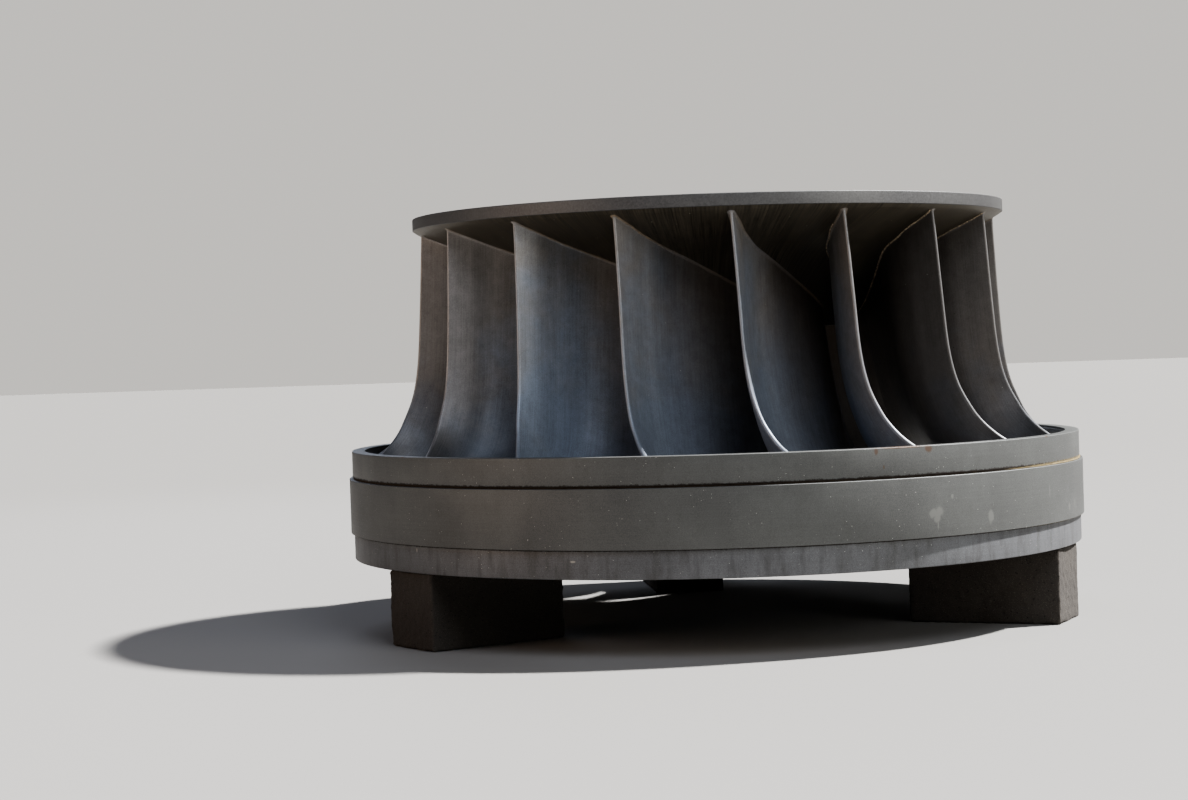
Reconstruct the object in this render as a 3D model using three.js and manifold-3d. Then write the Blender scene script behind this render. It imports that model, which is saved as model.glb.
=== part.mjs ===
// A Francis turbine runner on three stone blocks: a crown, seventeen twisted blades and a band,
// welded into one rotor, with the band's outer seal ring and its lower ring.
// Millimetres, +Z up. The origin is on the shaft's axis, on the ground under the blocks.
import * as THREE from "three";
import { mergeVertices } from "three/addons/utils/BufferGeometryUtils.js";
import Module from "manifold-3d";

// What the runner stands on
const BLOCK_LENGTH = 880; // along the runner's radius
const BLOCK_WIDTH = 450;
const BLOCK_HEIGHT = 430;
const BLOCK_CHAMFER = 14;
const BLOCK_OUTER_REACH = 2160; // axis to the block's outer end, just inside the band's edge
const BLOCK_AZIMUTHS = [98, 218, 338]; // degrees from +X

// Fits and facets
const SEAT_GAP = 0.3; // between pieces that touch
const SIDES = 68; // facets round every ring, four to a blade
const BLADES = 17;
const FIRST_BLADE_AZIMUTH = 4.5; // degrees from -Y towards +X, at the blade's top
const BLADE_PITCH = 360 / BLADES;
const EDGE_CHAMFER = 6; // on the crown's rim and the band's lip
const WELD_DISTANCE = 1e-3; // corners nearer than this are one

// The runner's own heights count from the band's lower edge.
const RUNNER_BASE = BLOCK_HEIGHT + SEAT_GAP;

// Crown
const CROWN_RADIUS = 1774;
const CROWN_TOP = 2011.5;
const CROWN_LAND_WIDTH = 150; // flat ring on top of the rim
const CROWN_LAND_STEP = 45;
const HUB_RADIUS = 740;
const CROWN_DISH = [
  [1420, 1912],
  [1180, 1828],
  [960, 1735],
  [820, 1700],
  [760, 1715],
  [HUB_RADIUS, 1745],
]; // radius and height of the hollow upper side, from the land in to the hub
const HUB_BOTTOM = 1300;
const HUB_FLANGE_TOP = 2000;
const HUB_HOLLOW_RADIUS = 640;
const HUB_HOLLOW_TOP = 1540;
const BORE_RADIUS = 300;
const BORE_CHAMFER = 12;

// Coupling holes for the shaft's bolts
const COUPLING_HOLES = 12;
const COUPLING_PITCH_RADIUS = 560;
const COUPLING_HOLE_RADIUS = 52;
const COUPLING_HOLE_DEPTH = 210;
const COUPLING_HOLE_SIDES = 16;

// Band
const BAND_TOP = 640;
const BAND_LIP_UNDERSIDE = 481;
const BAND_LIP_RADIUS = 2181;
const BAND_SEAT_RADIUS = 2128; // the turned seat that carries the two outer rings
const SEAL_RING_RADIUS = 2200;
const SEAL_RING_BOTTOM = 154;
const SEAL_GROOVE = 5; // open joint under the band's lip
const RING_CHAMFER = 5;

// Blade section: the way along the chord as a share of it, and half the thickness there. The nose
// is round, 34 mm across.
const SECTION = [
  [0, 0],
  [0.0022, 9],
  [0.007, 14.3],
  [0.016, 17],
  [0.08, 18],
  [0.24, 18.5],
  [0.45, 17.5],
  [0.66, 14.5],
  [0.85, 10],
  [1, 6],
];
const BLADE_EMBED = 32; // how far the blade runs into the crown and the band before it is cut
const FOOT_SHARPNESS = 3; // how late on the span the wrap turns to the band's course
const SPAN_STATIONS = [0.04, 0.2, 0.4, 0.57, 0.71, 0.84, 0.94];

// Water passage, as points of radius, height and wrap. The wrap is in degrees about the axis.
// Crown's underside between rim and hub, which the blades follow:
const CROWN_LINE = [
  [1774, 1944, -0.6],
  [1724, 1914, 0],
  [1600, 1859, 1.4],
  [1450, 1797, 3.3],
  [1250, 1708, 8.6],
  [1050, 1555, 22.3],
  [912, 1390, 41.2],
  [845, 1300, 52],
];
const CROWN_LINE_START = 1; // the blade's first and last points on it
const CROWN_LINE_END = 6;
const CROWN_LINE_FACETS = 10;
// Band's inner wall from its upper edge down, and the blades' foot on it:
const BAND_LINE = [
  [2101, 640, 8.7],
  [2087, 586, 8],
  [2062, 490, 8.3],
  [2050, 390, 12],
  [2048, 270, 21],
  [2056, 150, 35.8],
  [2078, 0, 52],
];
const BAND_LINE_START = 1;
const BAND_LINE_END = 5;
const BAND_LINE_FACETS = 6;
// The blade's two edges, from the crown to the band:
const LEADING_LINE = [
  [1724, 1914, 0],
  [1735, 1720, 0.45],
  [1751, 1450, 0.95],
  [1774, 1153, 1.45],
  [1811, 960, 2.2],
  [1872, 818, 3.35],
  [1917, 740, 4.4],
  [1976, 672, 5.6],
  [2034, 622, 6.9],
  [2087, 586, 8],
];
const TRAILING_LINE = [
  [912, 1390, 41.2],
  [958, 1190, 40.4],
  [1004, 990, 39.9],
  [1052, 795, 39.8],
  [1116, 600, 39.3],
  [1256, 400, 38.3],
  [1580, 225, 36.6],
  [2056, 150, 35.8],
];

const wasm = await Module();
wasm.setup();

const steel = new THREE.MeshStandardMaterial({ color: 0x5f5d5b, roughness: 0.48, metalness: 0.85 });
const bladeSteel = new THREE.MeshStandardMaterial({ color: 0x55575b, roughness: 0.42, metalness: 0.9 });
const ringSteel = new THREE.MeshStandardMaterial({ color: 0x6a6764, roughness: 0.5, metalness: 0.8 });
const stone = new THREE.MeshStandardMaterial({ color: 0x6b6a66, roughness: 0.92, metalness: 0 });

const runner = new THREE.Group();

function addPiece(name, geometry, material) {
  const mesh = new THREE.Mesh(geometry, material);
  mesh.name = name;
  runner.add(mesh);
  return mesh;
}

function polar(radius, azimuthDegrees) {
  const a = THREE.MathUtils.degToRad(azimuthDegrees);
  return new THREE.Vector2(radius * Math.sin(a), -radius * Math.cos(a));
}

// Exact joins and cuts

function toSolid(geometry) {
  const bare = geometry.clone();
  bare.deleteAttribute("normal");
  bare.deleteAttribute("uv");
  const merged = mergeVertices(bare, WELD_DISTANCE);
  return new wasm.Manifold(
    new wasm.Mesh({
      numProp: 3,
      vertProperties: merged.attributes.position.array,
      triVerts: new Uint32Array(merged.index.array),
    }),
  );
}

function toGeometry(solid) {
  const mesh = solid.getMesh();
  const positions = new Float32Array(mesh.numVert * 3);
  for (let i = 0; i < mesh.numVert; i++)
    for (let j = 0; j < 3; j++) positions[i * 3 + j] = mesh.vertProperties[i * mesh.numProp + j];
  const geometry = new THREE.BufferGeometry();
  geometry.setAttribute("position", new THREE.BufferAttribute(positions, 3));
  geometry.setIndex(new THREE.BufferAttribute(mesh.triVerts, 1));
  geometry.computeVertexNormals();
  return geometry;
}

// Rings turned about the axis

// Points of radius and height, anticlockwise, become a closed ring with its axis on +Z.
function turned(points) {
  const closed = [...points, points[0]].map(([radius, height]) => new THREE.Vector2(radius, height));
  const ring = new THREE.LatheGeometry(closed, SIDES);
  ring.rotateX(Math.PI / 2);
  return ring;
}

// A closed outline moved outwards all round, for the clearance between pieces that touch.
function grown(points, distance) {
  const sharpest = 0.4; // keeps a pointed corner from running away
  const corner = (i) => new THREE.Vector2(...points[(i + points.length) % points.length]);
  return points.map((_, i) => {
    const before = corner(i).sub(corner(i - 1)).normalize();
    const after = corner(i + 1).sub(corner(i)).normalize();
    const outward = new THREE.Vector2(before.y + after.y, -before.x - after.x).normalize();
    const spread = distance / Math.max(sharpest, outward.dot(new THREE.Vector2(after.y, -after.x)));
    const moved = corner(i).addScaledVector(outward, spread);
    return [moved.x, moved.y];
  });
}

function smoothLine(points) {
  return new THREE.CatmullRomCurve3(points.map((p) => new THREE.Vector3(...p)), false, "catmullrom", 0.5);
}

// The part of a smooth line between two of its own points, as a function of 0 to 1.
function stretchOf(points, start, end) {
  const line = smoothLine(points);
  const steps = points.length - 1;
  return (t) => line.getPoint((start + t * (end - start)) / steps);
}

function profileAlong(points, count) {
  const line = smoothLine(points);
  return line.getPoints(count).map((p) => [p.x, p.y]);
}

function crownOutline() {
  const underside = profileAlong(CROWN_LINE, CROWN_LINE_FACETS).reverse();
  const landInner = CROWN_RADIUS - CROWN_LAND_WIDTH;
  return [
    ...underside,
    [CROWN_RADIUS, CROWN_TOP - EDGE_CHAMFER],
    [CROWN_RADIUS - EDGE_CHAMFER, CROWN_TOP],
    [landInner, CROWN_TOP],
    [landInner, CROWN_TOP - CROWN_LAND_STEP],
    ...CROWN_DISH,
    [HUB_RADIUS, HUB_FLANGE_TOP - BORE_CHAMFER],
    [HUB_RADIUS - BORE_CHAMFER, HUB_FLANGE_TOP],
    [BORE_RADIUS + BORE_CHAMFER, HUB_FLANGE_TOP],
    [BORE_RADIUS, HUB_FLANGE_TOP - BORE_CHAMFER],
    [BORE_RADIUS, HUB_HOLLOW_TOP],
    [HUB_HOLLOW_RADIUS, HUB_HOLLOW_TOP],
    [HUB_HOLLOW_RADIUS, HUB_BOTTOM],
  ];
}

function bandOutline() {
  const innerWall = profileAlong(BAND_LINE, BAND_LINE_FACETS);
  return [
    ...innerWall,
    [BAND_SEAT_RADIUS, 0],
    [BAND_SEAT_RADIUS, BAND_LIP_UNDERSIDE],
    [BAND_LIP_RADIUS, BAND_LIP_UNDERSIDE],
    [BAND_LIP_RADIUS, BAND_TOP - EDGE_CHAMFER],
    [BAND_LIP_RADIUS - EDGE_CHAMFER, BAND_TOP],
  ];
}

// A plain ring on the band's seat, with its four outer edges broken.
function seatRingOutline(outerRadius, bottom, top) {
  const inner = BAND_SEAT_RADIUS + SEAT_GAP;
  return [
    [inner, bottom],
    [outerRadius - RING_CHAMFER, bottom],
    [outerRadius, bottom + RING_CHAMFER],
    [outerRadius, top - RING_CHAMFER],
    [outerRadius - RING_CHAMFER, top],
    [inner, top],
  ];
}

function makeCrown() {
  let solid = toSolid(turned(crownOutline()));
  const hole = new THREE.CylinderGeometry(
    COUPLING_HOLE_RADIUS,
    COUPLING_HOLE_RADIUS,
    COUPLING_HOLE_DEPTH * 2,
    COUPLING_HOLE_SIDES,
  );
  hole.rotateX(Math.PI / 2);
  for (let i = 0; i < COUPLING_HOLES; i++) {
    const at = polar(COUPLING_PITCH_RADIUS, ((i + 0.5) * 360) / COUPLING_HOLES);
    const placed = hole.clone().translate(at.x, at.y, HUB_FLANGE_TOP);
    solid = solid.subtract(toSolid(placed));
  }
  return toGeometry(solid);
}

// Blades

const crownEdge = stretchOf(CROWN_LINE, CROWN_LINE_START, CROWN_LINE_END);
const bandEdge = stretchOf(BAND_LINE, BAND_LINE_START, BAND_LINE_END);
const leadingEdge = stretchOf(LEADING_LINE, 0, LEADING_LINE.length - 1);
const trailingEdge = stretchOf(TRAILING_LINE, 0, TRAILING_LINE.length - 1);

// The blade's middle surface, blended from its four edges: s runs from the leading edge to the
// trailing edge, u from the crown to the band. It returns radius, height and wrap. The wrap keeps
// to the crown's course over most of the span and turns to the band's only near the foot.
function blended(s, u, share) {
  const corners = new THREE.Vector3()
    .addScaledVector(crownEdge(0), (1 - s) * (1 - share))
    .addScaledVector(bandEdge(0), (1 - s) * share)
    .addScaledVector(crownEdge(1), s * (1 - share))
    .addScaledVector(bandEdge(1), s * share);
  return new THREE.Vector3()
    .addScaledVector(crownEdge(s), 1 - share)
    .addScaledVector(bandEdge(s), share)
    .addScaledVector(leadingEdge(u), 1 - s)
    .addScaledVector(trailingEdge(u), s)
    .sub(corners);
}

function middle(s, u) {
  const place = blended(s, u, u);
  place.z = blended(s, u, u ** FOOT_SHARPNESS).z;
  return place;
}

function inSpace(point) {
  const at = polar(point.x, point.z);
  return new THREE.Vector3(at.x, at.y, point.y);
}

function middleNormal(s, u) {
  const step = 0.01; // share of the chord and of the span
  const s0 = Math.max(0, s - step);
  const s1 = Math.min(1, s + step);
  const u0 = Math.max(0, u - step);
  const u1 = Math.min(1, u + step);
  const along = inSpace(middle(s1, u)).sub(inSpace(middle(s0, u)));
  const across = inSpace(middle(s, u1)).sub(inSpace(middle(s, u0)));
  return along.cross(across).normalize();
}

// One closed loop of points round the blade at a station of its span.
function sectionLoop(u) {
  const side = (sign) =>
    SECTION.map(([s, half]) => inSpace(middle(s, u)).addScaledVector(middleNormal(s, u), sign * half));
  const front = side(1);
  const back = side(-1);
  return [...front, ...back.slice(1).reverse()];
}

function bladeGeometry() {
  const intoCrown = sectionLoop(0).map((p) => p.clone().add(new THREE.Vector3(0, 0, BLADE_EMBED)));
  const intoBand = sectionLoop(1).map((p) => {
    const outward = new THREE.Vector3(p.x, p.y, 0).setLength(BLADE_EMBED);
    return p.clone().add(outward);
  });
  const loops = [intoCrown, ...SPAN_STATIONS.map(sectionLoop), intoBand];
  const around = loops[0].length;
  const positions = loops.flat().flatMap((p) => p.toArray());
  const indices = [];
  for (let row = 0; row + 1 < loops.length; row++)
    for (let i = 0; i < around; i++) {
      const a = row * around + i;
      const b = row * around + ((i + 1) % around);
      indices.push(a, b, a + around, b, b + around, a + around);
    }
  // Each end is closed by strips between the two sides of the section.
  const sideCount = SECTION.length;
  for (const [base, flip] of [
    [0, false],
    [(loops.length - 1) * around, true],
  ])
    for (let i = 0; i + 1 < sideCount; i++) {
      const a = base + i;
      const b = base + i + 1;
      const c = base + ((around - i - 1) % around);
      const d = base + ((around - i) % around);
      const faces = i === 0 ? [[a, c, b]] : [[a, c, b], [a, d, c]];
      for (const [p, q, r] of faces) indices.push(...(flip ? [p, r, q] : [p, q, r]));
    }
  const geometry = new THREE.BufferGeometry();
  geometry.setAttribute("position", new THREE.BufferAttribute(new Float32Array(positions), 3));
  geometry.setIndex(indices);
  return geometry;
}

function largestBody(solid) {
  const bodies = solid.decompose();
  return bodies.reduce((a, b) => (a.volume() > b.volume() ? a : b));
}

// The first blade, already turned to its place, so that every blade meets the same facets.
function makeBlade() {
  const placed = bladeGeometry().rotateZ(THREE.MathUtils.degToRad(FIRST_BLADE_AZIMUTH));
  const raw = toSolid(placed);
  const crown = toSolid(turned(grown(crownOutline(), SEAT_GAP)));
  const band = toSolid(turned(grown(bandOutline(), SEAT_GAP)));
  return toGeometry(largestBody(raw.subtract(crown).subtract(band)));
}

// Assembly

runner.position.z = RUNNER_BASE;
addPiece("crown", makeCrown(), steel);
addPiece("band", turned(bandOutline()), steel);
addPiece(
  "band_seal_ring",
  turned(
    seatRingOutline(SEAL_RING_RADIUS, SEAL_RING_BOTTOM + SEAT_GAP, BAND_LIP_UNDERSIDE - SEAL_GROOVE),
  ),
  ringSteel,
);
addPiece("band_lower_ring", turned(seatRingOutline(BAND_LIP_RADIUS, 0, SEAL_RING_BOTTOM)), ringSteel);

const blade = makeBlade();
for (let i = 0; i < BLADES; i++) {
  const piece = addPiece("blade_" + String(i + 1).padStart(2, "0"), blade, bladeSteel);
  piece.rotation.z = THREE.MathUtils.degToRad(i * BLADE_PITCH);
}

// Stone blocks, one under each third of the band

function blockGeometry() {
  const halfLength = BLOCK_LENGTH / 2 - BLOCK_CHAMFER;
  const halfWidth = BLOCK_WIDTH / 2 - BLOCK_CHAMFER;
  const outline = new THREE.Shape([
    new THREE.Vector2(-halfLength, -halfWidth),
    new THREE.Vector2(halfLength, -halfWidth),
    new THREE.Vector2(halfLength, halfWidth),
    new THREE.Vector2(-halfLength, halfWidth),
  ]);
  const block = new THREE.ExtrudeGeometry(outline, {
    depth: BLOCK_HEIGHT - 2 * BLOCK_CHAMFER,
    bevelEnabled: true,
    bevelThickness: BLOCK_CHAMFER,
    bevelSize: BLOCK_CHAMFER,
    bevelSegments: 1,
  });
  return block.translate(0, 0, BLOCK_CHAMFER);
}

const plinth = new THREE.Group();
BLOCK_AZIMUTHS.forEach((azimuth, i) => {
  const mesh = new THREE.Mesh(blockGeometry(), stone);
  mesh.name = "stone_block_" + (i + 1);
  const a = THREE.MathUtils.degToRad(azimuth);
  const reach = BLOCK_OUTER_REACH - BLOCK_LENGTH / 2;
  mesh.position.set(reach * Math.cos(a), reach * Math.sin(a), 0);
  mesh.rotation.z = a;
  plinth.add(mesh);
});

const group = new THREE.Group();
group.add(plinth, runner);

export default group;
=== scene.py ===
# A Francis turbine runner set down on three stone blocks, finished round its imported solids.
# Metres, +Z up. The shaft's axis is the Z axis and the ground is z = 0. Lists of points, and names
# that end in _MM, are millimetres, and the runner's own heights count from the band's lower edge.
import math
from functools import partial

import bmesh
import bpy
import numpy as np
from mathutils import Matrix, Vector, noise


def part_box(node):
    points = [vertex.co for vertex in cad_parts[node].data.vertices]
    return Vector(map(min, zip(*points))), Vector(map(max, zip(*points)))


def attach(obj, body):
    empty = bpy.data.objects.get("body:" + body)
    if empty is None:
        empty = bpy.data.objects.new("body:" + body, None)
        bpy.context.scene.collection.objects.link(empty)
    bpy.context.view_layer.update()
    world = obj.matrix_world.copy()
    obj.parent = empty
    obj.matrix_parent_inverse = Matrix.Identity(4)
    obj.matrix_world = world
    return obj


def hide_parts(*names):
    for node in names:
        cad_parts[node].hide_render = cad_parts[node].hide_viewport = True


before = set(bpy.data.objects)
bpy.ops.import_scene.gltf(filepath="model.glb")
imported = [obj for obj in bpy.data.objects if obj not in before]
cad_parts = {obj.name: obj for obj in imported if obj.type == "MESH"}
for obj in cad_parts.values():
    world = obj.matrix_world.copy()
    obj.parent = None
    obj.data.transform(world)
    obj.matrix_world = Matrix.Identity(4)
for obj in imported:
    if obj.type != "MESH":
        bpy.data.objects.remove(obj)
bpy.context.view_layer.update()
scene = bpy.context.scene

# Camera. A long lens 14 m off on the -Y side, at eye height. It is rolled a little, because the
# runner in the photograph hangs slightly out of level.
CAMERA_PLACE = (0, -14.209, 1.639)
CAMERA_LENS_MM = 70.8
CAMERA_SENSOR_MM = 36
CAMERA_YAW = -0.0501
CAMERA_PITCH = -0.0222
CAMERA_ROLL = 0.0327

camera_data = bpy.data.cameras.new("camera")
camera_data.lens = CAMERA_LENS_MM
camera_data.sensor_width = CAMERA_SENSOR_MM
camera = bpy.data.objects.new("camera", camera_data)
scene.collection.objects.link(camera)
scene.camera = camera
camera.matrix_world = (
    Matrix.Translation(CAMERA_PLACE)
    @ Matrix.Rotation(-CAMERA_YAW, 4, "Z")
    @ Matrix.Rotation(math.pi / 2 + CAMERA_PITCH, 4, "X")
    @ Matrix.Rotation(-CAMERA_ROLL, 4, "Z")
)


# Studio. A plain pale floor under a dim soft sky, with one hard lamp high on the right and slightly
# behind. Large soft lamps stand on the right, high in front, on the left and behind.
FLOOR_SIZE = 240
LAMP_DISTANCE = 15
HORIZON_COLOUR = "#d9d3ca"
OVERHEAD_COLOUR = "#b4cbee"
SKY_STRENGTH = 0.045
BACKDROP_COLOUR = "#cdcac5"
BACKDROP_STRENGTH = 1.05
FLOOR_COLOUR = "#716f6c"
FLOOR_CLOUDS = "#777572"
AIM_HEIGHT = 1.3


def linear(colour):
    """An sRGB hex colour as the four linear numbers that a shader takes."""
    parts = [int(colour[i : i + 2], 16) / 255 for i in (1, 3, 5)]
    return [*(c / 12.92 if c < 0.04045 else ((c + 0.055) / 1.055) ** 2.4 for c in parts), 1]


def set_inputs(node, inputs):
    """Sets inputs, listed in order or by name, to values, hex colours or sockets. A node among them
    stands for the first of its outputs that is in use."""
    for key, value in inputs.items() if isinstance(inputs, dict) else enumerate(inputs):
        if isinstance(value, bpy.types.Node):
            value = next(socket for socket in value.outputs if socket.enabled)
        if isinstance(value, bpy.types.NodeSocket):
            node.id_data.links.new(value, node.inputs[key])
        else:
            is_colour = isinstance(value, str) and value.startswith("#")
            node.inputs[key].default_value = linear(value) if is_colour else value


def add_node(tree, kind, inputs=(), **settings):
    """Adds a node. A shader node's kind is given without the ShaderNode before it."""
    node = tree.nodes.new(kind if kind.startswith("Geometry") else "ShaderNode" + kind)
    for name, value in settings.items():
        setattr(node, name, value)
    set_inputs(node, inputs)
    return node


def coated(add, base, *coats):
    """Lays coats over a base colour, each given as its mask and its colour."""
    for mask, colour in coats:
        base = add("Mix", {"Factor": mask, "A": base, "B": colour}, data_type="RGBA")
    return base


def start_material(name):
    """A new material, its shader, what adds nodes to it, and the place on the object in metres."""
    material = bpy.data.materials.new(name)
    material.use_nodes = True
    add = partial(add_node, material.node_tree)
    place = add("TexCoord").outputs["Object"]
    return material, material.node_tree.nodes["Principled BSDF"], add, place


def add_object(name, data):
    made = bpy.data.objects.new(name, data)
    scene.collection.objects.link(made)
    return made


concrete, shader, add, _ = start_material("studio_floor")
cloud = add("TexNoise", {"Scale": 0.4, "Detail": 3})
tone = coated(add, FLOOR_COLOUR, (cloud, FLOOR_CLOUDS))
set_inputs(shader, {"Base Color": tone, "Roughness": 0.8})

floor_mesh = bpy.data.meshes.new("studio_floor")
half = FLOOR_SIZE / 2
floor_mesh.from_pydata(
    [(-half, -half, 0), (half, -half, 0), (half, half, 0), (-half, half, 0)], [], [(0, 1, 2, 3)]
)
floor_mesh.materials.append(concrete)
add_object("studio_floor", floor_mesh)

sky = bpy.data.worlds.new("studio_sky")
sky.use_nodes = True
add = partial(add_node, sky.node_tree)
height = add("SeparateXYZ", [add("TexCoord").outputs["Generated"]]).outputs["Z"]
overhead = add("MapRange", [height, 0.12, 0.75, 0, 1])
seen = add("LightPath").outputs["Is Camera Ray"]
backdrop = coated(add, HORIZON_COLOUR, (overhead, OVERHEAD_COLOUR), (seen, BACKDROP_COLOUR))
power = add("MapRange", [seen, 0, 1, SKY_STRENGTH, BACKDROP_STRENGTH])
set_inputs(sky.node_tree.nodes["Background"], {"Color": backdrop, "Strength": power})
scene.world = sky
scene.view_settings.look = "AgX - Medium High Contrast"


def add_lamp(name, kind, azimuth, elevation, strength, colour, **settings):
    """A lamp aimed at the runner's middle. Azimuth counts in degrees from -Y towards +X."""
    data = bpy.data.lights.new(name, kind)
    data.energy = strength
    data.color = linear(colour)[:3]
    for label, value in settings.items():
        setattr(data, label, value)
    turn = Matrix.Rotation(math.radians(azimuth), 4, "Z")
    turn = turn @ Matrix.Rotation(math.radians(90 - elevation), 4, "X")
    aim = Matrix.Translation((0, 0, AIM_HEIGHT))
    add_object(name, data).matrix_world = aim @ turn @ Matrix.Translation((0, 0, LAMP_DISTANCE))


add_lamp("key_lamp", "SUN", 107, 52, 19, "#ffffff", angle=math.radians(3))
add_lamp("right_lamp", "AREA", 47, 13, 690, "#fbfbf6", shape="DISK", size=6)
add_lamp("high_lamp", "AREA", 20, 42, 1020, "#eef4ff", shape="DISK", size=8)
add_lamp("left_lamp", "AREA", -60, 13, 560, "#ffddc0", shape="DISK", size=6)
add_lamp("high_left_lamp", "AREA", -60, 42, 330, "#c8e0ff", shape="DISK", size=8)
add_lamp("back_lamp", "AREA", -155, 30, 500, "#e6eeff", shape="DISK", size=8)


# Crown. One dished casting of martensitic stainless steel. Its underside is ground by hand towards
# the hub, its rim is turned and has weathered to a mottled grey, and its top carries the flange
# for the shaft, bored for twelve coupling bolts.
RUNNER_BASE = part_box("band")[0].z
# The crown's underside from rim to hub: radius, height, and the blades' wrap in degrees
CROWN_LINE = [
    (1774, 1944, -0.6),
    (1724, 1914, 0),
    (1600, 1859, 1.4),
    (1450, 1797, 3.3),
    (1250, 1708, 8.6),
    (1050, 1555, 22.3),
    (912, 1390, 41.2),
    (845, 1300, 52),
]
CROWN_RADIUS_MM = 1774
CROWN_TOP_MM = 2011.5
CROWN_LAND_MM = 150
CROWN_LAND_STEP_MM = 45
CROWN_DISH = [(1420, 1912), (1180, 1828), (960, 1735), (820, 1700), (760, 1715)]
HUB_RADIUS_MM = 740
HUB_TOP_MM = 2000
HUB_HOLLOW_RADIUS_MM = 640
HUB_HOLLOW_TOP_MM = 1540
HUB_BOTTOM_MM = 1300
BORE_RADIUS_MM = 300
COUPLING_HOLES = 12
COUPLING_CIRCLE_MM = 560
COUPLING_HOLE_MM = 52
COUPLING_DEPTH_MM = 210
HUB_FOOT_RISE_MM = 30
RIM_EDGE_MM = 4
RING_STEPS = 272
ARC_STEPS = 4
MERGE_DISTANCE = 1e-6


def smooth(points, t):
    """The smooth curve through evenly counted points, at shares t of its way."""
    p = np.asarray(points, float)
    p = np.vstack([2 * p[0] - p[1], p, 2 * p[-1] - p[-2]])
    place = np.asarray(t, float) * (len(points) - 1)
    i = np.clip(np.floor(place).astype(int), 0, len(points) - 2)
    w = (place - i)[..., None]
    a, b, c, d = p[i], p[i + 1], p[i + 2], p[i + 3]
    square, cube = 2 * a - 5 * b + 4 * c - d, 3 * b - a - 3 * c + d
    return 0.5 * (2 * b + (c - a) * w + square * w**2 + cube * w**3)


def rounded(corners):
    """An outline in metres from corners of radius, height and edge radius in millimetres."""
    points = []
    for i, (radius, height, edge) in enumerate(corners):
        here = Vector((radius, height))
        if edge == 0:
            points.append(here)
            continue
        before = Vector(corners[i - 1][:2]) - here
        after = Vector(corners[(i + 1) % len(corners)][:2]) - here
        start = here + before.normalized() * edge
        end = here + after.normalized() * edge
        for k in range(ARC_STEPS + 1):
            t = k / ARC_STEPS
            points.append(start * (1 - t) ** 2 + here * 2 * t * (1 - t) + end * t**2)
    return [(p.x / 1000, p.y / 1000 + RUNNER_BASE) for p in points]


def new_tree(name, inputs):
    """A geometry node tree with these inputs and a finish: what adds its nodes, and its ends."""
    tree = bpy.data.node_groups.new(name, "GeometryNodeTree")
    sockets = [("Geometry", "INPUT", "Geometry"), ("Geometry", "OUTPUT", "Geometry")]
    sockets += [(label, "INPUT", kind) for label, kind in inputs.items()]
    for label, way, kind in [*sockets, ("Finish", "INPUT", "Material")]:
        tree.interface.new_socket(label, in_out=way, socket_type="NodeSocket" + kind)
    start, end = tree.nodes.new("NodeGroupInput"), tree.nodes.new("NodeGroupOutput")
    return partial(add_node, tree), start.outputs, end


def end_tree(add, given, end, geometry):
    """Makes a tree's instances real, gives them the finish, and hands them out."""
    single = add("GeometryNodeRealizeInstances", [geometry])
    material = {"Geometry": single, "Material": given["Finish"]}
    set_inputs(end, [add("GeometryNodeSetMaterial", material)])
    return end.id_data


def made_by(tree, name, values, source=None):
    """Runs a tree on a mesh and gives its result as a plain object of that name."""
    base = add_object(name + "_base", source or bpy.data.meshes.new(name + "_base"))
    modifier = base.modifiers.new("made", "NODES")
    modifier.node_group = tree
    for item in tree.interface.items_tree:
        if item.in_out == "INPUT" and item.name in values:
            modifier[item.identifier] = values[item.name]
    evaluated = base.evaluated_get(bpy.context.evaluated_depsgraph_get())
    mesh = bpy.data.meshes.new_from_object(evaluated)
    bpy.data.objects.remove(base)
    mesh.name = name
    return add_object(name, mesh)


def build_ring_tree():
    """Sweeps the profile object's vertices about the axis, as a grid wrapped round and closed."""
    add, given, end = new_tree("turned_ring", {"Profile": "Object", "Steps": "Int"})
    steps = given["Steps"]
    profile = add("GeometryNodeObjectInfo", {"Object": given["Profile"]}).outputs["Geometry"]
    counted = add("GeometryNodeAttributeDomainSize", [profile], component="MESH")
    count = counted.outputs["Point Count"]
    rows = add("Math", [count, 1.0], operation="ADD")
    columns = add("Math", [steps, 1.0], operation="ADD")
    size = {"Size X": steps, "Size Y": count, "Vertices X": columns, "Vertices Y": rows}
    grid = add("GeometryNodeMeshGrid", size)
    place = add("GeometryNodeInputPosition")
    split = add("SeparateXYZ", [place])
    half_rows = add("Math", [count, 0.5], operation="MULTIPLY")
    row = add("Math", [split.outputs["Y"], half_rows], operation="ADD")
    whole = add("Math", [row], operation="ROUND")
    wrapped = add("Math", [whole, count], operation="MODULO")
    turn = add("Math", [split.outputs["X"], math.tau], operation="MULTIPLY")
    angle = add("Math", [turn, steps], operation="DIVIDE")
    looked_up = {"Geometry": profile, "Value": place, "Index": wrapped}
    corner = add("GeometryNodeSampleIndex", looked_up, data_type="FLOAT_VECTOR")
    swung = add("VectorRotate", {"Vector": corner, "Angle": angle}, rotation_type="Z_AXIS")
    bent = add("GeometryNodeSetPosition", {"Geometry": grid, "Position": swung})
    closed = add("GeometryNodeMergeByDistance", {"Geometry": bent, "Distance": 1e-5})
    return end_tree(add, given, end, closed)


RING_TREE = build_ring_tree()


def face_outwards(made, sharp_degrees=32):
    """Turns every face outwards, and keeps only the real edges sharp."""
    shape = bmesh.new()
    shape.from_mesh(made.data)
    bmesh.ops.remove_doubles(shape, verts=shape.verts, dist=MERGE_DISTANCE)
    bmesh.ops.recalc_face_normals(shape, faces=shape.faces)
    for face in shape.faces:
        face.smooth = True
    shape.to_mesh(made.data)
    shape.free()
    made.data.set_sharp_from_angle(angle=math.radians(sharp_degrees))


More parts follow.
